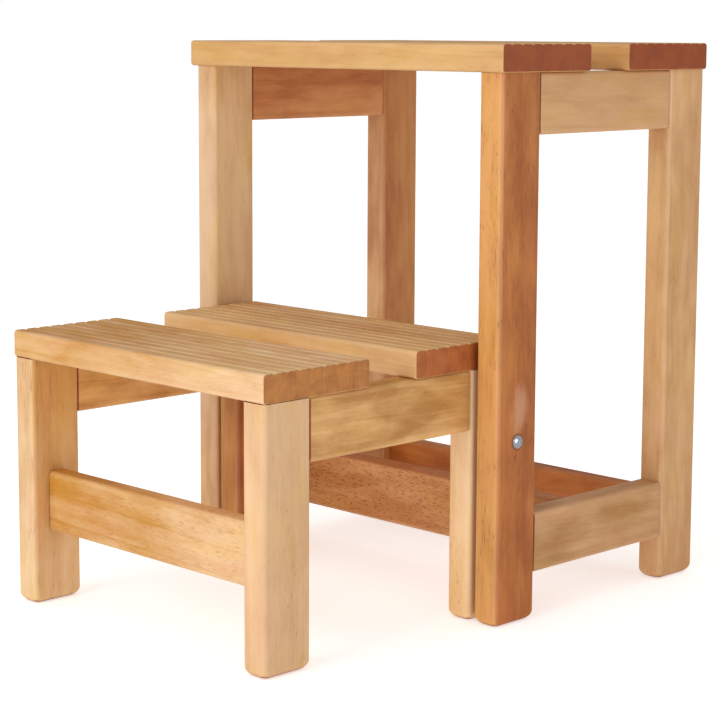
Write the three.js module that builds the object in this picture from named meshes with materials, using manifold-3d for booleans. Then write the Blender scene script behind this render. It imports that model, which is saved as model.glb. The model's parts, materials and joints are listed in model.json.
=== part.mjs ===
// Folding two-step ladder in oiled beech. Units are millimetres, +Z is up, +X is the ladder's right side
// and the low step stands in front of the frame, towards -Y. The exported group's origin is on the floor,
// at the centre of the whole ladder's footprint.
//
// The tall frame is two side frames (two legs, an apron, a side rail) tied by two cross rails and two
// treads. The step is a smaller frame of the same kind. Its rear legs stand just inside the frame's front
// legs and turn on one bolt each side, so that the step swings up and over into the frame.
//
// Inside this file, Y = 0 is the front face of the frame's front legs.

import * as THREE from 'three';
import { mergeVertices } from 'three/addons/utils/BufferGeometryUtils.js';
import Module from 'manifold-3d';

const wasm = await Module();
wasm.setup();

// ---------------------------------------------------------------- driving dimensions

// overall
const FRAME_HEIGHT = 500; // floor to the top of the upper treads
const FRAME_WIDTH = 392; // over the outer faces of the side frames
const FRAME_DEPTH = 282; // front leg's front face to rear leg's rear face
const STEP_HEIGHT = 246; // floor to the top of the lower treads
const STEP_DEPTH = 290; // over the step's legs, front to rear
const SIDE_GAP = 5; // between the step and each side frame, filled by the spacer

// timber sections
const LEG_THICK = 26; // along X
const LEG_WIDE = 51; // along Y
const LEG_ROUND = 4; // radius of a leg's long edges
const FOOT_ROUND = 8; // radius round the bottom of a leg
const RAIL_THICK = 24.5; // aprons and side rails, along X
const RAIL_HIGH = 53; // aprons and side rails
const RAIL_ROUND = 3.5; // radius of a rail's long edges
const END_ROUND = 1.5; // radius round the ends of rails and treads
const TREAD_THICK = 24;
const TREAD_ROUND = 3; // radius of a tread's long edges

// frame
const FRAME_TREAD_DEPTH = 116;
const FRAME_TREAD_OVERHANG = 4; // in front of the front legs
const FRAME_TREAD_SIDE_OVERHANG = 4; // past each side frame
const FRAME_TREAD_GAP = 52; // hand gap between the upper treads
const SIDE_RAIL_BOTTOM = 41; // above the floor
const FRONT_CROSS_RAIL = { thick: 25, high: 56, front: 98, bottom: 38 };
const REAR_CROSS_RAIL = { thick: 18, high: 54, setback: 12, bottom: 28 }; // behind the rear legs' front

// step
const STEP_TREAD_DEPTH = 117;
const STEP_TREAD_OVERHANG = 0.5;
const STEP_TREAD_GAP = 54;
const STEP_STRETCHER = { thick: 19, high: 54, bottom: 66 };

// flutes along the treads
const FLUTE_COUNT = 8;
const FLUTE_PITCH = 13.3;
const FLUTE_WIDE = 5.5;
const FLUTE_DEEP = 1.4;

// joinery
const GLUE_GAP = 0.15; // between timbers that butt against each other
const FIT = 0.1; // all round a tenon, a dowel or a screw in its hole
const TENON = { long: 14, thick: 9, high: 38 };
const DOWEL = { radius: 4, long: 30, inFace: 12 }; // inFace: depth in the side grain it meets
const SCREW = { radius: 2, long: 48, headRadius: 4, headHigh: 3, sunk: 20 };
const DOWEL_SPREAD = 26; // between the two dowels at a rail's end
const SCREW_INSET = 16; // screw to the tread edge that faces the gap

// pivot
const PIVOT_HEIGHT = 161; // above the floor, at the middle of the leg's width
const BOLT = { radius: 3, headRadius: 6, headHigh: 3 };
const RUNNING = 0.06; // radial clearance of the bolt
const SLACK = 0.2; // end clearance at each face that slides
const SPACER_RADIUS = 10;
const WASHER = { radius: 9, thick: 1.6 };
const NUT = { radius: 5.5, high: 8, wall: 1.6 }; // closed, with a domed end

const ROUND_SIDES = 24; // sides of bolt holes and turned parts
const SMALL_SIDES = 12; // sides of dowels and screws

// ---------------------------------------------------------------- places worked out from them

const SIDES = [['right', 1], ['left', -1]];
const frameLegX = FRAME_WIDTH / 2 - LEG_THICK / 2;
const frameInnerX = FRAME_WIDTH / 2 - LEG_THICK;
const stepOuterX = frameInnerX - SIDE_GAP;
const stepLegX = stepOuterX - LEG_THICK / 2;
const stepInnerX = stepOuterX - LEG_THICK;
const stepFront = LEG_WIDE - STEP_DEPTH;
const frameUnder = FRAME_HEIGHT - TREAD_THICK; // underside of the upper treads
const stepUnder = STEP_HEIGHT - TREAD_THICK;
const pivotY = LEG_WIDE / 2;

// ---------------------------------------------------------------- finishes

const material = (settings) => new THREE.MeshStandardMaterial(settings);
const beech = (color, roughness = 0.5) => material({ color, roughness, metalness: 0 });
const steel = (color, roughness) => material({ color, roughness, metalness: 1 });
const FINISH = {
  frameLeg: () => beech(0xd99a5b),
  frameRail: () => beech(0xc48a55),
  frameTread: () => beech(0xcf9258),
  stepLeg: () => beech(0xdeb184),
  stepRail: () => beech(0xe0b37c),
  stepTread: () => beech(0xd2a06a),
  dowel: () => beech(0xe3c196, 0.7),
  screw: () => steel(0xb9b48f, 0.4),
  bolt: () => steel(0xc9ccd0, 0.25),
};

// ---------------------------------------------------------------- shapes

// A closed geometry as a solid that can be cut and joined.
function solid(geometry) {
  const bare = geometry.clone();
  bare.deleteAttribute('normal');
  bare.deleteAttribute('uv');
  const merged = mergeVertices(bare, 1e-4);
  const index = merged.index.array;
  const triVerts = [];
  for (let i = 0; i < index.length; i += 3) {
    const [a, b, c] = [index[i], index[i + 1], index[i + 2]];
    if (a !== b && b !== c && c !== a) triVerts.push(a, b, c);
  }
  return new wasm.Manifold(new wasm.Mesh({
    numProp: 3,
    vertProperties: new Float32Array(merged.attributes.position.array),
    triVerts: new Uint32Array(triVerts),
  }));
}

function geometryOf(body) {
  const mesh = body.getMesh();
  const geometry = new THREE.BufferGeometry();
  geometry.setAttribute('position', new THREE.BufferAttribute(mesh.vertProperties, 3));
  geometry.setIndex(new THREE.BufferAttribute(mesh.triVerts, 1));
  geometry.computeVertexNormals();
  return geometry;
}

// The directions that a flat outline's across, up and extrusion take for a prism along each axis.
const PRISM_AXES = {
  x: [new THREE.Vector3(0, 1, 0), new THREE.Vector3(0, 0, 1), new THREE.Vector3(1, 0, 0)],
  y: [new THREE.Vector3(1, 0, 0), new THREE.Vector3(0, 0, 1), new THREE.Vector3(0, -1, 0)],
  z: [new THREE.Vector3(1, 0, 0), new THREE.Vector3(0, 1, 0), new THREE.Vector3(0, 0, 1)],
};

// An outline drawn about its centre, extruded along an axis and centred on it.
function prism(outline, axis, length) {
  const options = { depth: length, bevelEnabled: false, curveSegments: 2 };
  const geometry = new THREE.ExtrudeGeometry(outline, options);
  geometry.translate(0, 0, -length / 2);
  geometry.applyMatrix4(new THREE.Matrix4().makeBasis(...PRISM_AXES[axis]));
  return solid(geometry);
}

// A rectangle about its centre, with one radius at the two lower corners and one at the two upper corners.
function roundedOutline(width, height, lower, upper = lower) {
  const [w, h] = [width / 2, height / 2];
  const outline = new THREE.Shape();
  outline.moveTo(-w + lower, -h);
  outline.lineTo(w - lower, -h);
  if (lower > 0) outline.absarc(w - lower, -h + lower, lower, -Math.PI / 2, 0);
  outline.lineTo(w, h - upper);
  if (upper > 0) outline.absarc(w - upper, h - upper, upper, 0, Math.PI / 2);
  outline.lineTo(-w + upper, h);
  if (upper > 0) outline.absarc(-w + upper, h - upper, upper, Math.PI / 2, Math.PI);
  outline.lineTo(-w, -h + lower);
  if (lower > 0) outline.absarc(-w + lower, -h + lower, lower, Math.PI, 1.5 * Math.PI);
  return outline;
}

// A leg: long edges rounded, top cut square, foot rounded on all four sides.
function legSolid(height) {
  const plan = prism(roundedOutline(LEG_THICK, LEG_WIDE, LEG_ROUND), 'z', height);
  const side = prism(roundedOutline(LEG_WIDE, height, FOOT_ROUND, 0), 'x', LEG_THICK);
  const front = prism(roundedOutline(LEG_THICK, height, FOOT_ROUND, 0), 'y', LEG_WIDE);
  return plan.intersect(side).intersect(front);
}

// A bar along X or Y: long edges rounded, ends eased all round.
function barSolid([sx, sy, sz], axis) {
  const long = { x: RAIL_ROUND, y: END_ROUND, z: END_ROUND };
  if (axis === 'y') [long.x, long.y] = [END_ROUND, RAIL_ROUND];
  const alongX = prism(roundedOutline(sy, sz, long.x), 'x', sx);
  const alongY = prism(roundedOutline(sx, sz, long.y), 'y', sy);
  const alongZ = prism(roundedOutline(sx, sy, long.z), 'z', sz);
  return alongX.intersect(alongY).intersect(alongZ);
}

// A side rail or apron along Y with a stub tenon at each end.
function tenonedRailSolid(length) {
  const rail = barSolid([RAIL_THICK, length, RAIL_HIGH], 'y');
  const tongue = new THREE.BoxGeometry(TENON.thick, length + 2 * (TENON.long + GLUE_GAP), TENON.high);
  return rail.add(solid(tongue));
}

// A tread's section: rounded long edges and shallow round flutes along its upper face.
function treadOutline(depth) {
  const [w, h] = [depth / 2, TREAD_THICK / 2];
  const fluteRadius = (FLUTE_WIDE ** 2 / 4 + FLUTE_DEEP ** 2) / (2 * FLUTE_DEEP);
  const halfAngle = Math.asin(FLUTE_WIDE / 2 / fluteRadius);
  const outline = new THREE.Shape();
  outline.moveTo(-w + TREAD_ROUND, -h);
  outline.lineTo(w - TREAD_ROUND, -h);
  outline.absarc(w - TREAD_ROUND, -h + TREAD_ROUND, TREAD_ROUND, -Math.PI / 2, 0);
  outline.lineTo(w, h - TREAD_ROUND);
  outline.absarc(w - TREAD_ROUND, h - TREAD_ROUND, TREAD_ROUND, 0, Math.PI / 2);
  for (let i = FLUTE_COUNT - 1; i >= 0; i -= 1) {
    const middle = (i - (FLUTE_COUNT - 1) / 2) * FLUTE_PITCH;
    const centreHeight = h + fluteRadius - FLUTE_DEEP;
    outline.lineTo(middle + FLUTE_WIDE / 2, h);
    const [from, to] = [-Math.PI / 2 + halfAngle, -Math.PI / 2 - halfAngle];
    outline.absarc(middle, centreHeight, fluteRadius, from, to, true);
  }
  outline.lineTo(-w + TREAD_ROUND, h);
  outline.absarc(-w + TREAD_ROUND, h - TREAD_ROUND, TREAD_ROUND, Math.PI / 2, Math.PI);
  outline.lineTo(-w, -h + TREAD_ROUND);
  outline.absarc(-w + TREAD_ROUND, -h + TREAD_ROUND, TREAD_ROUND, Math.PI, 1.5 * Math.PI);
  return outline;
}

function treadSolid(length, depth) {
  const section = prism(treadOutline(depth), 'x', length);
  const front = prism(roundedOutline(length, TREAD_THICK, END_ROUND), 'y', depth);
  const plan = prism(roundedOutline(length, depth, END_ROUND), 'z', TREAD_THICK);
  return section.intersect(front).intersect(plan);
}

// A part turned about its own axis from [radius, distance along the axis] points, laid along X or Z.
function turned(profile, sides, axis) {
  const geometry = new THREE.LatheGeometry(profile.map(([r, d]) => new THREE.Vector2(r, d)), sides);
  if (axis === 'x') geometry.rotateZ(-Math.PI / 2);
  else geometry.rotateX(Math.PI / 2);
  return solid(geometry);
}

// A round hole whose flat sides just touch the given radius, centred on its own middle.
function hole(radius, length, sides, axis) {
  const [corner, half] = [radius / Math.cos(Math.PI / sides), length / 2];
  return turned([[0, -half], [corner, -half], [corner, half], [0, half]], sides, axis);
}

// ---------------------------------------------------------------- assembly

const ladder = new THREE.Group();
const frame = new THREE.Group();
const step = new THREE.Group();
ladder.add(frame, step);

// Holes for dowels, screws and bolts, at their place in the ladder. Every timber is cut by them.
const holes = [];
// Mortises, at their place in the ladder. Every leg is cut by them.
const mortises = [];

function place(parent, name, body, [x, y, z], finish) {
  const mesh = new THREE.Mesh(geometryOf(body), finish);
  mesh.name = name;
  mesh.position.set(x, y, z);
  parent.add(mesh);
}

function placeTimber(parent, name, body, [x, y, z], finish, cuts = holes) {
  const cut = cuts.reduce((rest, cutter) => rest.subtract(cutter.translate(-x, -y, -z)), body);
  place(parent, name, cut, [x, y, z], finish);
}

// A dowel along X or Z with eased ends, and the hole it sits in.
function placeDowel(parent, name, [x, y, z], axis) {
  const [half, r] = [DOWEL.long / 2, DOWEL.radius];
  const profile = [[0, -half], [r - 1, -half], [r, 1 - half], [r, half - 1], [r - 1, half], [0, half]];
  place(parent, name, turned(profile, SMALL_SIDES, axis), [x, y, z], FINISH.dowel());
  holes.push(hole(DOWEL.radius + FIT, DOWEL.long + 4 * FIT, SMALL_SIDES, axis).translate(x, y, z));
}

// The two dowels at each end of a rail along X, between faces at +-faceX.
function placeRailDowels(parent, name, faceX, y, z) {
  for (const [side, sign] of SIDES) {
    for (const [level, up] of [['upper', 1], ['lower', -1]]) {
      const x = sign * (faceX + DOWEL.inFace - DOWEL.long / 2);
      placeDowel(parent, `${name}_dowel_${side}_${level}`, [x, y, z + up * DOWEL_SPREAD / 2], 'x');
    }
  }
}

// A wood screw pointing up, its head sunk in a wider hole from the apron's lower edge, and both holes.
function placeTreadScrew(parent, name, [x, y, apronBottom]) {
  const { radius, long, headRadius, headHigh, sunk } = SCREW;
  const profile = [[0, 0], [headRadius, 0], [headRadius, headHigh / 2], [radius, headHigh],
    [radius, long - 2 * radius], [0, long]];
  const head = apronBottom + sunk;
  place(parent, name, turned(profile, SMALL_SIDES, 'z'), [x, y, head], FINISH.screw());
  const shank = hole(radius + FIT, long + FIT, SMALL_SIDES, 'z').translate(x, y, head + long / 2);
  const pocketHigh = sunk + headHigh;
  const pocket = hole(headRadius + 2 * FIT, 2 * pocketHigh, SMALL_SIDES, 'z').translate(x, y, apronBottom);
  holes.push(shank, pocket);
}

// A mortise for a stub tenon that enters a leg's face at faceY. The cutter stands as far out of the face.
function addMortise(x, faceY, z) {
  const deep = TENON.long + 2 * FIT;
  const box = new THREE.BoxGeometry(TENON.thick + 2 * FIT, 2 * deep, TENON.high + 2 * FIT);
  mortises.push(solid(box.translate(x, faceY, z)));
}

// The pivot: bolt, spacer, washer and cap nut, all on one line through the two legs.
function placePivot(side, sign) {
  const along = (distance) => [sign * distance, pivotY, PIVOT_HEIGHT];
  const mirrored = (profile) => profile.map(([r, d]) => [r, sign * d]);
  const oriented = (profile) => (sign > 0 ? profile : profile.toReversed());
  const make = (profile) => turned(oriented(mirrored(profile)), ROUND_SIDES, 'x');
  const { radius, headRadius, headHigh } = BOLT;
  const bore = radius + FIT;

  // Distances along the pivot's line, from the middle of the ladder outwards.
  const washerFace = stepInnerX - WASHER.thick;
  const nutFace = washerFace - SLACK - NUT.high;
  const headFace = FRAME_WIDTH / 2 + GLUE_GAP;
  const shank = nutFace + NUT.wall + SLACK - headFace;

  const domeAngles = [0, 1, 2, 3, 4].map((i) => (i / 4) * (Math.PI / 2));
  const dome = (r, high) => domeAngles.map((a) => [r * Math.cos(a), high * Math.sin(a)]);
  const boltProfile = [[0, shank], [radius - SLACK, shank], [radius, shank + SLACK], [radius, 0],
    ...dome(headRadius, headHigh)];
  place(frame, `pivot_bolt_${side}`, make(boltProfile), along(headFace), FINISH.bolt());

  const ring = (outer, thick) => [[bore, 0], [outer, 0], [outer, thick], [bore, thick], [bore, 0]];
  const spacer = make(ring(SPACER_RADIUS, SIDE_GAP - 2 * SLACK));
  place(frame, `pivot_spacer_${side}`, spacer, along(stepOuterX + SLACK), FINISH.bolt());
  const washer = make(ring(WASHER.radius, WASHER.thick - SLACK));
  place(frame, `pivot_washer_${side}`, washer, along(washerFace), FINISH.bolt());

  const crown = dome(NUT.radius, NUT.high / 2).map(([r, d]) => [r, NUT.high / 2 - d]).toReversed();
  const nut = make([...crown, [NUT.radius, NUT.high], [bore, NUT.high], [bore, NUT.wall], [0, NUT.wall]]);
  place(frame, `pivot_nut_${side}`, nut, along(nutFace), FINISH.bolt());

  const through = 2 * (LEG_THICK + SIDE_GAP);
  const drilled = hole(radius + RUNNING, through, ROUND_SIDES, 'x');
  holes.push(drilled.translate(...along(stepOuterX + SIDE_GAP / 2)));
}

// ---------------------------------------------------------------- fasteners and mortises first

const frontRailY = FRONT_CROSS_RAIL.front + FRONT_CROSS_RAIL.thick / 2;
const rearRailY = FRAME_DEPTH - LEG_WIDE + REAR_CROSS_RAIL.setback + REAR_CROSS_RAIL.thick / 2;
const frontRailZ = FRONT_CROSS_RAIL.bottom + FRONT_CROSS_RAIL.high / 2;
const rearRailZ = REAR_CROSS_RAIL.bottom + REAR_CROSS_RAIL.high / 2;
const stretcherY = stepFront + LEG_WIDE / 2;
const stretcherZ = STEP_STRETCHER.bottom + STEP_STRETCHER.high / 2;
const sideRailInnerX = frameLegX - RAIL_THICK / 2;

placeRailDowels(frame, 'front_cross_rail', sideRailInnerX, frontRailY, frontRailZ);
placeRailDowels(frame, 'rear_cross_rail', frameInnerX, rearRailY, rearRailZ);
placeRailDowels(step, 'step_stretcher', stepInnerX, stretcherY, stretcherZ);

// Each part of the ladder that carries a pair of treads.
const FRAME_PART = {
  group: frame, name: 'frame', legX: frameLegX, under: frameUnder, legFront: 0, depth: FRAME_DEPTH,
  treadLength: FRAME_WIDTH + 2 * FRAME_TREAD_SIDE_OVERHANG, treadDepth: FRAME_TREAD_DEPTH,
  treadFront: -FRAME_TREAD_OVERHANG, treadGap: FRAME_TREAD_GAP,
  leg: FINISH.frameLeg, rail: FINISH.frameRail, tread: FINISH.frameTread,
};
const STEP_PART = {
  group: step, name: 'step', legX: stepLegX, under: stepUnder, legFront: stepFront, depth: STEP_DEPTH,
  treadLength: 2 * stepOuterX, treadDepth: STEP_TREAD_DEPTH,
  treadFront: stepFront - STEP_TREAD_OVERHANG, treadGap: STEP_TREAD_GAP,
  leg: FINISH.stepLeg, rail: FINISH.stepRail, tread: FINISH.stepTread,
};
const PARTS = [FRAME_PART, STEP_PART];

const legCentres = (part) => [
  ['front', part.legFront + LEG_WIDE / 2],
  ['rear', part.legFront + part.depth - LEG_WIDE / 2],
];
const treadCentres = (part) => {
  const first = part.treadFront + part.treadDepth / 2;
  return [['front', first, 1], ['rear', first + part.treadDepth + part.treadGap, -1]];
};

for (const part of PARTS) {
  const apronZ = part.under - GLUE_GAP - RAIL_HIGH / 2;
  for (const [side, sign] of SIDES) {
    for (const [end, y] of legCentres(part)) {
      const name = `${part.name}_leg_top_dowel_${end}_${side}`;
      placeDowel(part.group, name, [sign * part.legX, y, part.under + DOWEL.inFace - DOWEL.long / 2], 'z');
    }
    for (const [end, y, towardsGap] of treadCentres(part)) {
      const screwY = y + towardsGap * (part.treadDepth / 2 - SCREW_INSET);
      const name = `${part.name}_tread_screw_${end}_${side}`;
      placeTreadScrew(part.group, name, [sign * part.legX, screwY, part.under - GLUE_GAP - RAIL_HIGH]);
    }
    addMortise(sign * part.legX, part.legFront + LEG_WIDE, apronZ);
    addMortise(sign * part.legX, part.legFront + part.depth - LEG_WIDE, apronZ);
  }
}
for (const [side, sign] of SIDES) {
  placePivot(side, sign);
  addMortise(sign * frameLegX, LEG_WIDE, SIDE_RAIL_BOTTOM + RAIL_HIGH / 2);
  addMortise(sign * frameLegX, FRAME_DEPTH - LEG_WIDE, SIDE_RAIL_BOTTOM + RAIL_HIGH / 2);
}

// ---------------------------------------------------------------- timbers

for (const part of PARTS) {
  const legHeight = part.under - GLUE_GAP;
  const railLength = part.depth - 2 * LEG_WIDE - 2 * GLUE_GAP;
  const middleY = part.legFront + part.depth / 2;
  for (const [side, sign] of SIDES) {
    const x = sign * part.legX;
    for (const [end, y] of legCentres(part)) {
      const name = `${part.name}_leg_${end}_${side}`;
      const leg = legSolid(legHeight);
      placeTimber(part.group, name, leg, [x, y, legHeight / 2], part.leg(), [...holes, ...mortises]);
    }
    const apron = tenonedRailSolid(railLength);
    const apronAt = [x, middleY, legHeight - RAIL_HIGH / 2];
    placeTimber(part.group, `${part.name}_apron_${side}`, apron, apronAt, part.rail());
  }
  for (const [end, y] of treadCentres(part)) {
    const tread = treadSolid(part.treadLength, part.treadDepth);
    const treadAt = [0, y, part.under + TREAD_THICK / 2];
    placeTimber(part.group, `${part.name}_tread_${end}`, tread, treadAt, part.tread());
  }
}

for (const [side, sign] of SIDES) {
  const length = FRAME_DEPTH - 2 * LEG_WIDE - 2 * GLUE_GAP;
  const at = [sign * frameLegX, FRAME_DEPTH / 2, SIDE_RAIL_BOTTOM + RAIL_HIGH / 2];
  placeTimber(frame, `frame_side_rail_${side}`, tenonedRailSolid(length), at, FINISH.frameRail());
}

const crossRail = ({ thick, high }, faceX) => barSolid([2 * (faceX - GLUE_GAP), thick, high], 'x');
const frontRail = crossRail(FRONT_CROSS_RAIL, sideRailInnerX);
const rearRail = crossRail(REAR_CROSS_RAIL, frameInnerX);
const stretcher = crossRail(STEP_STRETCHER, stepInnerX);
placeTimber(frame, 'front_cross_rail', frontRail, [0, frontRailY, frontRailZ], FINISH.frameRail());
placeTimber(frame, 'rear_cross_rail', rearRail, [0, rearRailY, rearRailZ], FINISH.frameRail());
placeTimber(step, 'step_stretcher', stretcher, [0, stretcherY, stretcherZ], FINISH.stepRail());

// The origin goes to the middle of the footprint, on the floor.
const foremost = Math.min(STEP_PART.treadFront, FRAME_PART.treadFront, stepFront);
const rearTreadBack = (part) => part.treadFront + 2 * part.treadDepth + part.treadGap;
const rearmost = Math.max(FRAME_DEPTH, rearTreadBack(FRAME_PART), rearTreadBack(STEP_PART));
ladder.position.y = -(foremost + rearmost) / 2;

export default ladder;
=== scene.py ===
"""A folding two-step ladder in oiled beech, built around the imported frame. Units are metres."""

import json
import math

import bmesh
import bpy
from mathutils import Matrix, Vector

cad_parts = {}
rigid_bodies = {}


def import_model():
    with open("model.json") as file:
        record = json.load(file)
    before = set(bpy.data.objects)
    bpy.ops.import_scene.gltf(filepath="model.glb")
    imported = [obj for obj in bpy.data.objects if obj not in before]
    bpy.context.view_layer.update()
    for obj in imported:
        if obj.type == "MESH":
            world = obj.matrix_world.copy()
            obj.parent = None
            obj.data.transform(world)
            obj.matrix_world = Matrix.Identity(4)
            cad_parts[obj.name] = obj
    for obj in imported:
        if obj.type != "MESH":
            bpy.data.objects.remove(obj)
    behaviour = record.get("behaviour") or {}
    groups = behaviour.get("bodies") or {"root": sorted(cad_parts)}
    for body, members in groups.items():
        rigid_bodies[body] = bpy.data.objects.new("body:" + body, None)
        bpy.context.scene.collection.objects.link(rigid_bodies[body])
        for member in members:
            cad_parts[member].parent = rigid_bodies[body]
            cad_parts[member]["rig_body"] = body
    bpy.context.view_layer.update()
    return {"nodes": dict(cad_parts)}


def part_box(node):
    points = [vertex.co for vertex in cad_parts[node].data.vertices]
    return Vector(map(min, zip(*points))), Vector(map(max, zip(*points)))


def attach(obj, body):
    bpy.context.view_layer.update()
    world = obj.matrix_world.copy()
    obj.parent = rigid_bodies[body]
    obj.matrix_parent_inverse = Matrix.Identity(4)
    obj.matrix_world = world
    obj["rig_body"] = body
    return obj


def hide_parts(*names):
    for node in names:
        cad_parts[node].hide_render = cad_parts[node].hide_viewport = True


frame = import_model()
NODES = frame["nodes"]
AXES = "xyz"
X, Y, Z = range(3)
MM = 0.001

# ---------------------------------------------------------------- measures of the timber work

LEG_EDGE = 4 * MM        # rounding of a leg's long edges
FOOT_EDGE = 8 * MM       # rounding round the bottom of a leg
RAIL_EDGE = 3.5 * MM     # rounding of a rail's long edges
TREAD_EDGE = 3 * MM      # rounding of a tread's long edges
END_EDGE = 1.5 * MM      # easing round the ends of rails and treads
GLUE_GAP = 0.15 * MM     # between a rail's shoulder and the leg
FIT = 0.1 * MM           # all round a tenon, dowel or screw
RUNNING = 0.06 * MM      # all round a bolt
TENON_THICK = 9 * MM
TENON_HIGH = 38 * MM
FLUTES = 8
FLUTE_PITCH = 13.3 * MM
FLUTE_WIDE = 5.5 * MM
FLUTE_DEEP = 1.4 * MM
ARRIS = 0.3 * MM         # sanding of the sharp edges that the flutes leave
SHARP = math.radians(35)     # an edge that turns more than this gets sanded
SMOOTH = math.radians(30)    # an edge that turns less than this is shaded smooth
SCREW_SHANK = 2 * MM     # radius
SCREW_HEAD = 4 * MM      # radius
SCREW_HEAD_HIGH = 3 * MM
BOLT_HEAD_HIGH = 3 * MM
BOLT_HEAD = 6 * MM       # radius
BOLT_SHANK = 3 * MM      # radius
BOLT_TIP_EDGE = 0.4 * MM
PAST = 10 * MM           # how far a drill or cutter runs out past the timber
NEAR = 0.001 * MM        # heights nearer than this are the same height
CORNER_NEAR = 0.01 * MM  # insets nearer than this belong to a square corner
WELD = 0.005 * MM        # points nearer than this are one point


# ---------------------------------------------------------------- the bench: shaping with operators

def box_of(node):
    low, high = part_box(node)
    return low.copy(), high.copy()


def longest_axis(low, high):
    size = high - low
    return max(range(3), key=lambda i: size[i])


def clear_bench():
    if bpy.context.object and bpy.context.object.mode != "OBJECT":
        bpy.ops.object.mode_set(mode="OBJECT")
    bpy.ops.object.select_all(action="DESELECT")


def take_up(piece):
    """Puts everything down and takes up one piece."""
    clear_bench()
    piece.select_set(True)
    bpy.context.view_layer.objects.active = piece


def new_piece(name):
    """Names the primitive that was just added, and fixes its place in its mesh."""
    piece = bpy.context.object
    piece.name = name
    bpy.ops.object.transform_apply(location=True, rotation=True, scale=True)
    return piece


def saw_block(name, low, high):
    """A block of timber between two corners."""
    clear_bench()
    bpy.ops.mesh.primitive_cube_add(size=1, location=(low + high) / 2, scale=high - low)
    return new_piece(name)


def turn_rod(name, radius, low, high, axis, sides):
    """A round rod between two points on its centre line, which runs along an axis."""
    clear_bench()
    turned = {"x": (0, math.pi / 2, 0), "y": (math.pi / 2, 0, 0), "z": (0, 0, 0)}[axis]
    bpy.ops.mesh.primitive_cylinder_add(vertices=sides, radius=radius, depth=(high - low).length,
                                        location=(low + high) / 2, rotation=turned)
    return new_piece(name)


def edit(piece):
    take_up(piece)
    bpy.ops.object.mode_set(mode="EDIT")


def leave():
    bpy.ops.object.mode_set(mode="OBJECT")


def pick(piece, kind, test):
    """Selects the edges or faces that pass the test, and nothing else."""
    bpy.ops.mesh.select_mode(type=kind)
    bpy.ops.mesh.select_all(action="DESELECT")
    mesh = bmesh.from_edit_mesh(piece.data)
    parts = mesh.edges if kind == "EDGE" else mesh.faces
    for part in parts:
        if test(part):
            part.select_set(True)
    mesh.select_flush_mode()
    bmesh.update_edit_mesh(piece.data)


def ends_of(edge):
    return [vertex.co for vertex in edge.verts]


def lies_at(edge, axis, at):
    """True for an edge whose two ends are at that height along an axis."""
    return all(abs(point[axis] - at) < NEAR for point in ends_of(edge))


def round_over(piece, test, radius, segments):
    """Rounds the edges that pass the test, as a router would."""
    pick(piece, "EDGE", test)
    bpy.ops.mesh.bevel(offset=radius, offset_type="OFFSET", segments=segments, profile=0.5,
                       affect="EDGES", clamp_overlap=False)


def apply(piece, kind, **settings):
    """Puts one modifier on a piece and applies it."""
    take_up(piece)
    modifier = piece.modifiers.new(kind.title(), kind)
    for name, value in settings.items():
        setattr(modifier, name, value)
    bpy.ops.object.modifier_apply(modifier=modifier.name)


def cut(piece, tool, operation="DIFFERENCE"):
    """Cuts a tool out of a piece, or joins it on, and puts the tool away."""
    apply(piece, "BOOLEAN", object=tool, operation=operation, solver="EXACT")
    bpy.data.objects.remove(tool)


def weld(piece):
    """Joins the points that the cuts leave a hair apart, and drops the slivers between them."""
    edit(piece)
    bpy.ops.mesh.select_all(action="SELECT")
    bpy.ops.mesh.remove_doubles(threshold=WELD)
    bpy.ops.mesh.dissolve_degenerate(threshold=WELD)
    leave()


def sand(piece):
    """Smooth shading on the roundings, with the flat faces kept flat."""
    take_up(piece)
    bpy.ops.object.shade_smooth_by_angle(angle=SMOOTH)
    apply(piece, "WEIGHTED_NORMAL", keep_sharp=True, weight=100)


# ---------------------------------------------------------------- timbers

def leg(node):
    """A square leg: rounded round its foot, then down its four long edges."""
    low, high = box_of(node)
    middle = (low + high) / 2
    half = (high - low) / 2
    piece = saw_block(node.replace("_leg_", "_beech_leg_"), low, high)
    edit(piece)
    round_over(piece, lambda edge: lies_at(edge, Z, low.z), FOOT_EDGE, 7)

    def on_corner(edge):
        top, bottom = ends_of(edge)
        if abs(top.z - bottom.z) < NEAR:
            return False
        inset = [(half.x - abs(p.x - middle.x), half.y - abs(p.y - middle.y)) for p in (top, bottom)]
        return all(abs(from_x - from_y) < CORNER_NEAR for from_x, from_y in inset)

    round_over(piece, on_corner, LEG_EDGE, 5)
    leave()
    return piece


def rail(name, low, high, axis, rounding=RAIL_EDGE):
    """A bar along an axis: long edges rounded, then its ends eased."""
    shortest = 20 * MM  # of the edges that run along the bar

    def runs_along(edge):
        start, stop = ends_of(edge)
        return abs(start[axis] - stop[axis]) > shortest

    def at_end(edge):
        return lies_at(edge, axis, low[axis]) or lies_at(edge, axis, high[axis])

    piece = saw_block(name, low, high)
    edit(piece)
    round_over(piece, runs_along, rounding, 5)
    round_over(piece, at_end, END_EDGE, 3)
    leave()
    return piece


def tongue_box(node):
    """The stub tenons of a rail, as one box right through it."""
    low, high = box_of(node)
    middle = (low + high) / 2
    low.x, high.x = middle.x - TENON_THICK / 2, middle.x + TENON_THICK / 2
    low.z, high.z = middle.z - TENON_HIGH / 2, middle.z + TENON_HIGH / 2
    return low, high


def tenoned_rail(node, front_leg, rear_leg):
    """A rail along Y between two legs, with a stub tenon into each."""
    low, high = box_of(node)
    low.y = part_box(front_leg)[1].y + GLUE_GAP
    high.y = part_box(rear_leg)[0].y - GLUE_GAP
    name = node.replace("_apron_", "_beech_apron_").replace("side_rail", "beech_side_rail")
    piece = rail(name, low, high, Y)
    cut(piece, saw_block("tongue", *tongue_box(node)), "UNION")
    return piece


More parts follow.
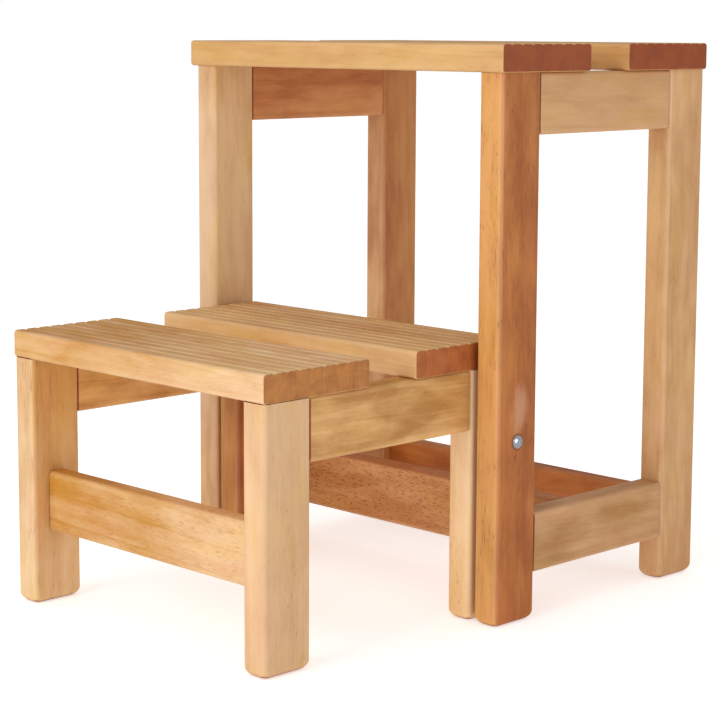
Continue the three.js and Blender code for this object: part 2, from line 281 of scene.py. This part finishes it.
def tread(node):
    """A board with rounded edges and eased ends, then fluted right through along its top."""
    low, high = box_of(node)
    piece = rail(node.replace("_tread_", "_beech_tread_"), low, high, X, TREAD_EDGE)
    radius = (FLUTE_WIDE ** 2 / 4 + FLUTE_DEEP ** 2) / (2 * FLUTE_DEEP)
    z = high.z + radius - FLUTE_DEEP
    for i in range(FLUTES):
        y = (low.y + high.y) / 2 + (i - (FLUTES - 1) / 2) * FLUTE_PITCH
        start, stop = Vector((low.x - PAST, y, z)), Vector((high.x + PAST, y, z))
        cut(piece, turn_rod("cutter", radius, start, stop, "x", 48))
    apply(piece, "BEVEL", width=ARRIS, segments=2, limit_method="ANGLE", angle_limit=SHARP)
    weld(piece)
    return piece


def touches(piece, low, high):
    corners = [Vector(corner) for corner in piece.bound_box]
    piece_low = [min(corner[i] for corner in corners) for i in range(3)]
    piece_high = [max(corner[i] for corner in corners) for i in range(3)]
    return all(piece_low[i] < high[i] and low[i] < piece_high[i] for i in range(3))


def mortise(legs, node):
    """Chisels a rail's mortise out of each leg that its tongue enters."""
    low, high = tongue_box(node)
    room = Vector((FIT, FIT, FIT))
    for piece in legs:
        if touches(piece, low, high):
            cut(piece, saw_block("chisel", low - room, high + room))


def drill_for_dowel(pieces, node):
    """Drills a dowel's hole through every timber that the dowel enters."""
    low, high = box_of(node)
    axis = longest_axis(low, high)
    start = (low + high) / 2
    stop = start.copy()
    start[axis], stop[axis] = low[axis] - 2 * FIT, high[axis] + 2 * FIT
    radius = min(high - low) / 2 + FIT
    for piece in pieces:
        if touches(piece, low, high):
            cut(piece, turn_rod("drill", radius, start, stop, AXES[axis], 24))


def drill_for_screw(screw, apron_node, apron, board):
    """Drills up through the apron into the board, and counterbores the apron for the head."""
    low, high = box_of(screw)
    middle = (low + high) / 2

    def at(z):
        return Vector((middle.x, middle.y, z))

    for piece in (apron, board):
        cut(piece, turn_rod("drill", SCREW_SHANK + FIT, at(low.z), at(high.z + FIT), "z", 24))
    under = at(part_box(apron_node)[0].z - PAST)
    seat = at(low.z + SCREW_HEAD_HIGH)
    cut(apron, turn_rod("counterbore", SCREW_HEAD + 2 * FIT, under, seat, "z", 24))


def drill_for_bolt(node, legs):
    low, high = box_of(node)
    start = (low + high) / 2
    stop = start.copy()
    start.x, stop.x = low.x - PAST, high.x + PAST
    for piece in legs:
        cut(piece, turn_rod("drill", BOLT_SHANK + RUNNING, start, stop, "x", 32))


def bolt(node, side):
    """A domed head on a round shank. The dome is half a flattened ball, and the shank is drawn out of it."""
    low, high = box_of(node)
    outer, tip = (high.x, low.x) if side > 0 else (low.x, high.x)
    seat = outer - side * BOLT_HEAD_HIGH
    centre = Vector((seat, (low.y + high.y) / 2, (low.z + high.z) / 2))
    clear_bench()
    bpy.ops.mesh.primitive_uv_sphere_add(segments=48, ring_count=24, radius=BOLT_HEAD, location=centre,
                                         rotation=(0, math.pi / 2, 0),
                                         scale=(1, 1, BOLT_HEAD_HIGH / BOLT_HEAD))
    piece = new_piece(node.replace("pivot_bolt", "pivot_bolt_domed"))

    def is_seat(face):
        return abs(face.normal.x) > 0.999 and abs(face.calc_center_median().x - seat) < NEAR

    edit(piece)
    bpy.ops.mesh.select_all(action="SELECT")
    bpy.ops.mesh.bisect(plane_co=centre, plane_no=(side, 0, 0), use_fill=True, clear_inner=True)
    pick(piece, "FACE", is_seat)
    bpy.ops.mesh.inset(thickness=BOLT_HEAD - BOLT_SHANK)
    bpy.ops.mesh.extrude_region_move(TRANSFORM_OT_translate={"value": (tip - seat, 0, 0)})
    pick(piece, "EDGE", lambda edge: lies_at(edge, X, tip))
    bpy.ops.mesh.bevel(offset=BOLT_TIP_EDGE, segments=2, affect="EDGES")
    bpy.ops.mesh.select_all(action="SELECT")
    bpy.ops.mesh.normals_make_consistent(inside=False)
    leave()
    return piece


# ---------------------------------------------------------------- making and fitting the timbers

PARTS = ("frame", "step")
ENDS = ("front", "rear")
SIDES = {"right": 1, "left": -1}
CROSS_BARS = {
    "front_cross_rail": "front_cross_beech_rail",
    "rear_cross_rail": "rear_cross_beech_rail",
    "step_stretcher": "step_beech_stretcher",
}
made = {}  # CAD node: the finished piece that stands for it
for part in PARTS:
    for side in SIDES:
        for end in ENDS:
            made[f"{part}_leg_{end}_{side}"] = leg(f"{part}_leg_{end}_{side}")
        legs = (f"{part}_leg_front_{side}", f"{part}_leg_rear_{side}")
        made[f"{part}_apron_{side}"] = tenoned_rail(f"{part}_apron_{side}", *legs)
        if part == "frame":
            made[f"frame_side_rail_{side}"] = tenoned_rail(f"frame_side_rail_{side}", *legs)
    for end in ENDS:
        made[f"{part}_tread_{end}"] = tread(f"{part}_tread_{end}")
for node, name in CROSS_BARS.items():
    made[node] = rail(name, *box_of(node), X)

timbers = {part: [made[node] for node in made if NODES[node]["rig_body"] == part] for part in PARTS}
for node in made:
    if "_apron_" in node or "_side_rail_" in node:
        mortise([piece for piece in timbers[NODES[node]["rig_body"]] if "_leg_" in piece.name], node)
for node, mesh in NODES.items():
    if "dowel" in node:
        drill_for_dowel(timbers[mesh["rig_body"]], node)

for side, sign in SIDES.items():
    for part in PARTS:
        for end in ENDS:
            apron_node = f"{part}_apron_{side}"
            drill_for_screw(f"{part}_tread_screw_{end}_{side}", apron_node, made[apron_node],
                            made[f"{part}_tread_{end}"])
    bolt_node = f"pivot_bolt_{side}"
    drill_for_bolt(bolt_node, (made[f"frame_leg_front_{side}"], made[f"step_leg_rear_{side}"]))
    made[bolt_node] = bolt(bolt_node, sign)

for piece in made.values():
    sand(piece)


# ---------------------------------------------------------------- finishes

class Wire:
    """A socket of a finish. Sums on it add Math nodes to the finish."""

    def __init__(self, finish, socket):
        self.finish = finish
        self.socket = socket

    def math(self, operation, *values):
        return self.finish.add("ShaderNodeMath", {"operation": operation}, dict(enumerate(values)))

    def __add__(self, other):
        return self.math("ADD", self, other)

    def __radd__(self, other):
        return self.math("ADD", other, self)

    def __sub__(self, other):
        return self.math("SUBTRACT", self, other)

    def __rsub__(self, other):
        return self.math("SUBTRACT", other, self)

    def __mul__(self, other):
        return self.math("MULTIPLY", self, other)

    def __rmul__(self, other):
        return self.math("MULTIPLY", other, self)

    def __truediv__(self, other):
        return self.math("DIVIDE", self, other)

    def __rtruediv__(self, other):
        return self.math("DIVIDE", other, self)

    def __abs__(self):
        return self.math("ABSOLUTE", self)

    def root(self):
        return self.math("SQRT", self)

    def fraction(self):
        return self.math("FRACT", self)

    def whole(self):
        return self.math("FLOOR", self)

    def clipped(self):
        """Kept between 0 and 1."""
        return self.math("MINIMUM", self.math("MAXIMUM", self, 0.0), 1.0)

    def most(self, other):
        return self.math("MAXIMUM", self, other)

    def step(self, start, stop):
        """0 before start and 1 after stop, smoothly. A start above stop falls instead."""
        before, after = (0.0, 1.0) if start < stop else (1.0, 0.0)
        return self.finish.add("ShaderNodeMapRange", {"interpolation_type": "SMOOTHSTEP"},
                               {0: self, 1: min(start, stop), 2: max(start, stop), 3: before, 4: after})


class Finish:
    """The nodes of one material, or of the sky, built one by one."""

    def __init__(self, owner):
        owner.use_nodes = True
        self.owner = owner
        self.tree = owner.node_tree
        self.tree.nodes.clear()

    def node(self, kind, settings=None, values=None):
        """Adds a node: its settings are set first, then its sockets are linked or set."""
        node = self.tree.nodes.new(kind)
        for name, value in (settings or {}).items():
            setattr(node, name, value)
        for key, value in (values or {}).items():
            socket = node.inputs[key]
            if isinstance(value, Wire):
                self.tree.links.new(value.socket, socket)
            else:
                socket.default_value = value
        return node

    def add(self, kind, settings=None, values=None, out=0):
        return Wire(self, self.node(kind, settings, values).outputs[out])

    def split(self, wire):
        node = self.node("ShaderNodeSeparateXYZ", None, {0: wire})
        return [Wire(self, output) for output in node.outputs]

    def point(self, x, y, z):
        return self.add("ShaderNodeCombineXYZ", None, {0: x, 1: y, 2: z})

    def noise(self, point, scale=1.0, detail=2.0, roughness=0.5):
        return self.add("ShaderNodeTexNoise", {"noise_dimensions": "3D"},
                        {"Vector": point, "Scale": scale, "Detail": detail, "Roughness": roughness})

    def mix(self, amount, first, second, mode="MIX"):
        return self.add("ShaderNodeMix", {"data_type": "RGBA", "blend_type": mode},
                        {0: amount, 6: first, 7: second}, out=2)

    def surface(self, colour, roughness, height=None, lift=0.0, **uniform):
        """The closing shader: what varies is linked, and every uniform number is set on its socket."""
        values = {"Base Color": colour, "Roughness": roughness}
        if height is not None:
            values["Normal"] = self.add("ShaderNodeBump", None,
                                        {"Strength": 1.0, "Distance": lift, "Height": height})
        values.update({name.replace("_", " "): value for name, value in uniform.items()})
        shader = self.add("ShaderNodeBsdfPrincipled", None, values)
        self.node("ShaderNodeOutputMaterial", None, {"Surface": shader})
        return self.owner


def tone(red, green, blue):
    """A colour as paint charts give it, turned into the light that it reflects."""
    linear = [c / 12.92 if c <= 0.04045 else ((c + 0.055) / 1.055) ** 2.4
              for c in (red / 255, green / 255, blue / 255)]
    return (*linear, 1.0)


WHITE = (1.0, 1.0, 1.0, 1.0)
# dark tone of the ray flecks, pores and end grain, and of the painted shadow round the bolt head
DARK_FLECK_AND_SHADOW = tone(128, 48, 8)
# painted highlight: the pale tone laid along the long rounded edges
PAINTED_EDGE_HIGHLIGHT = tone(246, 206, 166)
HONEY = (1.0, 0.99, 0.74, 1.0)    # tints that drift over a board
ROSE = (1.0, 0.92, 0.97, 1.0)
END_PALE = tone(172, 104, 58)     # end grain
PAINTED_FLUTE_SHADE = tone(150, 98, 56)   # painted shade down in the flutes

PITH = (30 * MM, -70 * MM)        # the heart of the tree, from the middle of a board's section
YEAR = 3.4 * MM                   # from one growth ring to the next
PAINTED_EDGE_HIGHLIGHT_BAND = (5 * MM, 1.2 * MM)    # from an edge: where the painted highlight begins, and where it is full
PAINTED_BOLT_SHADOW_RADII = (8.5 * MM, 6.2 * MM)     # radii of the painted shadow round the bolt head: its soft outline, and where it is full
FLUTE_FIELD = (4 * MM, 6 * MM)    # in from a tread's long edges: where the flutes begin
WOOD_LIFT = 0.10 * MM             # height of the grain's relief


class Board:
    """A timber's own coordinates, from its middle: a and b across its section, and along its fibres."""

    def __init__(self, finish, box, grain, seed):
        self.finish = finish
        self.low, self.high = box
        self.middle = (self.low + self.high) / 2
        self.half = (self.high - self.low) / 2
        self.seed = seed
        self.place = finish.split(finish.add("ShaderNodeTexCoord", out="Object"))
        self.facing = finish.split(finish.add("ShaderNodeTexCoord", out="Normal"))
        across, up = [i for i in range(3) if i != grain]
        self.a, self.b, self.along = (self.place[i] - self.middle[i] for i in (across, up, grain))
        self.half_a, self.half_b, self.half_along = (self.half[i] for i in (across, up, grain))
        self.end_face = abs(self.facing[grain]).step(0.55, 0.92)
        self.shift = (0.37 * seed, 0.53 * seed + 1.1, 0.71 * seed + 2.3)

    def cells(self, wide, tall, long, bend=0.0):
        """The place on the board counted in cells of that size, after the grain has wandered by bend."""
        shift_a, shift_b, shift_along = self.shift
        return self.finish.point((self.a + bend + shift_a) / wide, (self.b + bend + shift_b) / tall,
                                 (self.along + shift_along) / long)

    def figure(self, wide, long, bend=0.0, detail=2.0, roughness=0.5):
        """Noise drawn out along the fibres: wide across them and long along them."""
        return self.finish.noise(self.cells(wide, wide, long, bend), detail=detail, roughness=roughness)


def growth_rings(board, wander, ripple):
    """1 on the late wood of each ring, by the strength of that year's growth, and 0 between."""
    from_pith_a = board.a + wander * 0.045 + ripple * 0.009 - PITH[0]
    from_pith_b = board.b + wander * 0.030 + ripple * 0.006 - PITH[1] + board.along * 0.03
    years = (from_pith_a * from_pith_a + from_pith_b * from_pith_b).root() / YEAR
    phase = years.fraction()
    strength = board.finish.add("ShaderNodeTexWhiteNoise", {"noise_dimensions": "1D"},
                                {"W": years.whole() + board.seed})
    return phase.step(0.25, 0.90) * phase.step(1.0, 0.92) * strength * strength


def beech(name, box, grain, pale, deep, seed, blotch=1.0, flecks=0.3, speckled=0.0, fleck=(1.2, 9.0),
          lean=0.0, drift=0.0, end=END_PALE, fluted=False, painted_side_shading=None, painted_highlight=None, painted_bolt_shadow=None):
    """Oiled beech cut from its own board, between a pale and a deep tone.

    grain: the axis of its fibres
    blotch: how cloudy the tone is
    flecks, speckled, fleck: how dark the ray flecks are, how many, and their width and length in mm
    lean, drift: how the tone changes over the section and along the fibres
    painted_side_shading: the axis that the faces with painted light or shade look along, the tint that
    paints it, and its strength at the low and high end
    painted_highlight: the middle, radii and tone of a painted highlight patch
    painted_bolt_shadow: the middle of the painted shadow round the bolt head
    """
    f = Finish(bpy.data.materials.new(name))
    board = Board(f, box, grain, seed)
    a, b, along, end_face = board.a, board.b, board.along, board.end_face

    # how far the grain wanders, and the rings that wander with it
    wander = board.figure(0.10, 0.26) - 0.5
    ripple = board.figure(0.02, 0.09) - 0.5
    swing = wander * 0.030 + ripple * 0.007
    ring = growth_rings(board, wander, ripple)

    # broad tone, clouds, long bands and fine fibre
    broad = board.figure(50 * MM, 170 * MM, roughness=0.55)
    cloud = board.figure(14 * MM, 45 * MM, swing, detail=3.0, roughness=0.55)
    band = board.figure(6.5 * MM, 160 * MM, swing, roughness=0.55)
    streak = board.figure(1.5 * MM, 60 * MM, swing, detail=3.0, roughness=0.62)
    pore = board.figure(0.45 * MM, 5 * MM, swing, detail=1.0)
    hue = board.figure(22 * MM, 90 * MM, swing)
    amount = (0.5 + (broad - 0.5) * (2.2 * blotch) + (cloud - 0.5) * (1.5 * blotch) + (band - 0.5) * 0.65
              + (streak - 0.5) * 0.35 * (0.4 + broad * 1.2) + (ring - 0.1) * 0.25
              + b * (lean / board.half_b) + along * (drift / board.half_along))
    wood = f.mix(amount.clipped(), pale, deep)
    wood = f.mix(hue.step(0.50, 0.68) * 0.55, wood, HONEY, "MULTIPLY")
    wood = f.mix(hue.step(0.50, 0.34) * 0.55, wood, ROSE, "MULTIPLY")
    # painted light and shade: the faces that look along one axis are tinted lighter or darker for how the
    # light falls on that side
    if painted_side_shading:
        axis, tint, at_low, at_high = painted_side_shading
        level = (along * ((at_high - at_low) / 2 / board.half_along) + (at_low + at_high) / 2
                 + (cloud - 0.5) * 0.5)
        wood = f.mix(level.clipped() * abs(board.facing[axis]).step(0.5, 0.85), wood, tint, "MULTIPLY")

    # ray flecks: short dark dashes along the grain, gathered in drifts
    wide, long = fleck
    dash = board.figure(wide * MM, long * MM, swing)
    more_drifts, more_dashes = speckled * 0.45, speckled * 0.06
    drifts = (cloud * 0.8 + broad * 0.7).step(0.72 - more_drifts, 0.90 - more_drifts)
    seen = dash.step(0.60 - more_dashes, 0.72 - more_dashes) * drifts
    wood = f.mix(seen * flecks * (1 - end_face), wood, DARK_FLECK_AND_SHADOW)
    wood = f.mix(pore.step(0.60, 0.40) * broad * 0.10, wood, DARK_FLECK_AND_SHADOW)

    # painted light on this one timber: a pale highlight patch, and a shadow round the bolt head
    if painted_highlight:
        centre, radii, glow = painted_highlight
        off_a, off_b, off_along = ((c - at) / r for c, at, r in zip((a, b, along), centre, radii))
        spread = (off_a * off_a + off_b * off_b + off_along * off_along).root() + (cloud - 0.5) * 1.4
        wood = f.mix(spread.step(1.25, 0.2) * 0.8, wood, glow)
    # painted shadow: a dark ring round the bolt head, full under its rim and soft beyond
    if painted_bolt_shadow:
        off_b, off_along = b - painted_bolt_shadow[0], along - painted_bolt_shadow[1]
        away = (off_b * off_b + off_along * off_along).root()
        wood = f.mix(away.step(*PAINTED_BOLT_SHADOW_RADII) * 0.65, wood, DARK_FLECK_AND_SHADOW)
    # painted shade in the bottom of each flute
    if fluted:
        depth = board.high.z - board.place[Z]
        field = abs(board.place[Y] - board.middle.y).step(*(board.half.y - inset for inset in FLUTE_FIELD))
        painted_flute_shade = depth.step(0.15 * MM, 1.1 * MM) * depth.step(2.5 * MM, 1.6 * MM) * field
        wood = f.mix(painted_flute_shade * 0.45, wood, PAINTED_FLUTE_SHADE)

    # end grain drinks the oil and turns dark
    rays = f.noise(board.cells(2.2 * MM, 26 * MM, 26 * MM), detail=3.0, roughness=0.6)
    drink = (rays - 0.5) * 1.6 + (cloud - 0.5) * 2.6 + (ring - 0.1) * 0.25 + 0.4
    stain = f.mix(drink.clipped(), end, f.mix(0.5, end, DARK_FLECK_AND_SHADOW))
    wood = f.mix(end_face * 0.97, wood, stain)

    # painted highlight: the long rounded edges are tinted pale where they catch the light
    rim = (board.half_a - abs(a)).most(board.half_b - abs(b))
    painted_edge_highlight = rim.step(*PAINTED_EDGE_HIGHLIGHT_BAND) * (1 - end_face) * (0.5 + streak)
    wood = f.mix(painted_edge_highlight * 0.12, wood, PAINTED_EDGE_HIGHLIGHT)
    satin = 0.50 + (streak - 0.5) * 0.16 + ring * 0.05 - painted_edge_highlight * 0.06 + end_face * 0.14
    relief = streak * 0.35 + pore * 0.3 - ring * 0.3 - seen * 0.5
    return f.surface(wood, satin, relief, WOOD_LIFT, IOR=1.45, Coat_Weight=0.04, Coat_Roughness=0.3)


def steel(name, colour, rough, scratch, shine):
    """Zinc-plated steel with fine scratches and a cloudy plate. A lower shine is a chalkier plate."""
    f = Finish(bpy.data.materials.new(name))
    place = f.add("ShaderNodeTexCoord", out="Object")
    cloud = f.noise(place, scale=180.0, detail=3.0)
    fine = f.noise(place, scale=1400.0)
    plate = f.mix(cloud * 0.5 + fine * 0.3, colour, tone(120, 130, 146))
    return f.surface(plate, rough + cloud * 0.12, fine * scratch, 0.05 * MM, Metallic=shine)


def bolt_on_leg(bolt_node, leg_node):
    """Where a bolt stands on its leg, across it and along it, from the leg's middle."""
    bolt_low, bolt_high = box_of(bolt_node)
    leg_low, leg_high = box_of(leg_node)
    away = (bolt_low + bolt_high - leg_low - leg_high) / 2
    return away.y, away.z


END_FRAME = tone(158, 70, 12)
# where the painted shadow round the right pivot bolt sits on the front right leg
PAINTED_BOLT_SHADOW_AT = bolt_on_leg("pivot_bolt_right", "frame_leg_front_right")
# a painted highlight patch above the bolt on the front right leg
PAINTED_HIGHLIGHT_PATCH = ((13 * MM, 3 * MM, -47 * MM), (30 * MM, 11 * MM, 24 * MM), tone(206, 148, 112))
# the painted_side_shading entries tint one side of a timber for the light or shade it gets
BOARDS = {
    # node: (grain axis, pale tone, deep tone, seed, details)
    "frame_leg_front_right": (Z, tone(221, 160, 90), tone(188, 126, 64), 1, dict(
        flecks=0.6, speckled=0.25, fleck=(1.0, 13.0), lean=0.25, painted_bolt_shadow=PAINTED_BOLT_SHADOW_AT, painted_highlight=PAINTED_HIGHLIGHT_PATCH,
        painted_side_shading=(X, (0.74, 0.46, 0.22, 1.0), 1.0, 0.78))),
    "frame_leg_rear_right": (Z, tone(230, 187, 139), tone(206, 158, 102), 2, dict(
        painted_side_shading=(X, (0.93, 0.87, 0.80, 1.0), 0.9, 0.9))),
    "frame_leg_front_left": (Z, tone(222, 187, 150), tone(200, 153, 106), 3, dict(
        drift=-0.3, painted_side_shading=(X, (1.12, 1.15, 1.0, 1.0), 0.6, 1.1))),
    "frame_leg_rear_left": (Z, tone(213, 166, 116), tone(186, 128, 82), 4, dict(
        painted_side_shading=(X, (0.82, 0.60, 0.33, 1.0), 0.9, 0.9))),
    "frame_apron_right": (Y, tone(218, 171, 122), tone(194, 143, 90), 5, dict(blotch=0.7)),
    "frame_apron_left": (Y, tone(216, 150, 88), tone(186, 110, 54), 6, dict(blotch=1.3, lean=0.15)),
    "frame_side_rail_right": (Y, tone(212, 164, 112), tone(182, 130, 76), 7, dict(blotch=1.2)),
    "frame_side_rail_left": (Y, tone(214, 164, 114), tone(182, 128, 82), 8, dict()),
    "frame_tread_front": (X, tone(220, 178, 121), tone(198, 149, 83), 9, dict(
        end=END_FRAME, blotch=0.8, drift=-0.2)),
    "frame_tread_rear": (X, tone(216, 168, 108), tone(190, 136, 78), 10, dict(end=END_FRAME)),
    "front_cross_rail": (X, tone(216, 162, 108), tone(190, 128, 70), 11, dict(
        flecks=0.55, speckled=1.0, fleck=(1.3, 5.5), blotch=1.3,
        painted_side_shading=(Z, (0.82, 0.50, 0.09, 1.0), 1.0, 0.8))),
    "rear_cross_rail": (X, tone(201, 125, 60), tone(165, 86, 30), 12, dict(blotch=1.3)),
    "step_leg_front_right": (Z, tone(232, 192, 148), tone(213, 168, 120), 13, dict(
        blotch=0.8, flecks=0.4, fleck=(0.9, 8.0))),
    "step_leg_rear_right": (Z, tone(250, 217, 174), tone(238, 194, 136), 14, dict(blotch=0.9)),
    "step_leg_front_left": (Z, tone(234, 200, 158), tone(214, 172, 118), 15, dict(
        flecks=0.5, speckled=0.2, fleck=(1.3, 26.0), painted_side_shading=(X, (0.88, 0.68, 0.36, 1.0), 0.25, 1.1))),
    "step_leg_rear_left": (Z, tone(208, 152, 84), tone(176, 108, 44), 16, dict(
        painted_side_shading=(X, (0.70, 0.42, 0.18, 1.0), 0.9, 0.9))),
    "step_apron_right": (Y, tone(230, 181, 114), tone(188, 130, 62), 17, dict(blotch=1.4)),
    "step_apron_left": (Y, tone(232, 180, 110), tone(196, 134, 64), 18, dict(blotch=1.4)),
    "step_stretcher": (X, tone(230, 189, 142), tone(196, 136, 50), 19, dict(
        drift=-0.5, blotch=0.75, flecks=0.25, speckled=0.6, fleck=(1.3, 8.0))),
    "step_tread_front": (X, tone(236, 201, 156), tone(200, 143, 64), 20, dict(
        end=tone(192, 122, 46), drift=-0.3, blotch=0.6)),
    "step_tread_rear": (X, tone(226, 186, 132), tone(198, 148, 88), 21, dict(
        end=tone(184, 98, 30), blotch=0.8)),
}
DOWEL_PALE = tone(226, 190, 148)
DOWEL_DEEP = tone(200, 150, 102)
DOWEL_SEED = 30
ZINC = steel("zinc_plate", tone(226, 234, 244), 0.16, 0.3, 0.6)
YELLOW_ZINC = steel("yellow_zinc_plate", tone(204, 188, 130), 0.34, 0.4, 1.0)

for node, (grain, pale, deep, seed, details) in BOARDS.items():
    finish = beech(f"beech_{node}", box_of(node), grain, pale, deep, seed,
                   fluted="tread" in node, **details)
    made[node].data.materials.append(finish)
for side in SIDES:
    made[f"pivot_bolt_{side}"].data.materials.append(ZINC)

for node, piece in made.items():
    body = NODES[node]["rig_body"]
    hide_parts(node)
    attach(piece, body)
    if "tread" in node:
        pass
    elif "bolt" in node:
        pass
    else:
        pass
for node, mesh in NODES.items():
    if node in made:
        continue
    if "dowel" in node:
        box = box_of(node)
        finish = beech(f"beech_{node}", box, longest_axis(*box), DOWEL_PALE, DOWEL_DEEP, DOWEL_SEED)
    elif "screw" in node:
        finish = YELLOW_ZINC
    else:
        finish = ZINC
    mesh.data.materials.clear()
    mesh.data.materials.append(finish)


# ---------------------------------------------------------------- floor, light and camera

FLOOR_RADIUS = 14
FLOOR_GLOW = 0.52        # lifts the floor to near white under the soft light
SKY_LIGHT = 0.70         # on matt surfaces
SKY_IN_GLOSS = 0.30      # in reflections, so that the oiled wood keeps its colour
SKY_SEEN = 1.0           # behind the ladder
AIM = Vector((-0.0007, 0.0084, 0.2643))  # what the camera and the lights face
CAMERA_AZIMUTH, CAMERA_ELEVATION, CAMERA_ROLL = (math.radians(angle) for angle in (45.27, 7.525, 0.247))
CAMERA_DISTANCE = 1.8885
SENSOR = 36              # mm, as the lens is
LENS = 102.64
LENS_SHIFT = -1 / 12     # of the frame's height

scene = bpy.context.scene


def bearing(azimuth, elevation):
    """The direction from the ladder to a light or camera. 0 is the front and 90 degrees the right."""
    return Vector((math.sin(azimuth) * math.cos(elevation), -math.cos(azimuth) * math.cos(elevation),
                   math.sin(elevation)))


def pale_floor():
    f = Finish(bpy.data.materials.new("pale_floor"))
    speck = f.noise(f.add("ShaderNodeTexCoord", out="Object"), scale=3.0, detail=3.0)
    pale = f.mix(speck, tone(236, 236, 236), tone(230, 230, 230))
    return f.surface(pale, 0.9, IOR=1.1, Emission_Color=WHITE, Emission_Strength=FLOOR_GLOW)


def studio_sky():
    """A plain sky that is one strength as light, another in reflections and white behind the ladder."""
    sky = Finish(bpy.data.worlds.new("studio"))
    shown = sky.add("ShaderNodeBackground", None, {"Color": (1.0, 0.99, 0.97, 1.0), "Strength": SKY_LIGHT})
    for ray, strength in (("Is Glossy Ray", SKY_IN_GLOSS), ("Is Camera Ray", SKY_SEEN)):
        backdrop = sky.add("ShaderNodeBackground", None, {"Color": WHITE, "Strength": strength})
        by_ray = sky.add("ShaderNodeLightPath", out=ray)
        shown = sky.add("ShaderNodeMixShader", None, {0: by_ray, 1: shown, 2: backdrop})
    sky.node("ShaderNodeOutputWorld", None, {"Surface": shown})
    return sky.owner


def soft_box(name, azimuth, elevation, distance, size, power, colour):
    """A square studio light that faces the ladder."""
    back = bearing(math.radians(azimuth), math.radians(elevation))
    light = bpy.data.lights.new(name, "AREA")
    light.size = size
    light.energy = power
    light.color = colour
    lamp = bpy.data.objects.new(name, light)
    scene.collection.objects.link(lamp)
    lamp.location = AIM + back * distance
    lamp.rotation_mode = "QUATERNION"
    lamp.rotation_quaternion = (-back).to_track_quat("-Z", "Y")
    return lamp


def studio_camera():
    back = bearing(CAMERA_AZIMUTH, CAMERA_ELEVATION)
    right = Vector((math.cos(CAMERA_AZIMUTH), math.sin(CAMERA_AZIMUTH), 0))
    up = back.cross(right)
    tilted_right = right * math.cos(CAMERA_ROLL) + up * math.sin(CAMERA_ROLL)
    tilted_up = up * math.cos(CAMERA_ROLL) - right * math.sin(CAMERA_ROLL)
    lens = bpy.data.cameras.new("camera")
    lens.sensor_width = SENSOR
    lens.lens = LENS
    lens.shift_y = LENS_SHIFT
    camera = bpy.data.objects.new("camera", lens)
    scene.collection.objects.link(camera)
    turn = Matrix((tilted_right, tilted_up, back)).transposed().to_4x4()
    camera.matrix_world = Matrix.Translation(AIM + back * CAMERA_DISTANCE) @ turn
    return camera


clear_bench()
bpy.ops.mesh.primitive_circle_add(vertices=96, radius=FLOOR_RADIUS, fill_type="NGON")
floor = bpy.context.object
floor.name = "floor"
floor.data.materials.append(pale_floor())
floor.visible_glossy = False

scene.view_settings.view_transform = "Standard"
scene.world = studio_sky()
soft_box("key", 0, 22, 2.6, 1.3, 23, (1.0, 0.97, 0.93))
glint = soft_box("glint", 84, 6, 1.3, 0.7, 7.0, (1.0, 1.0, 1.0))
glint.visible_diffuse = False
scene.camera = studio_camera()
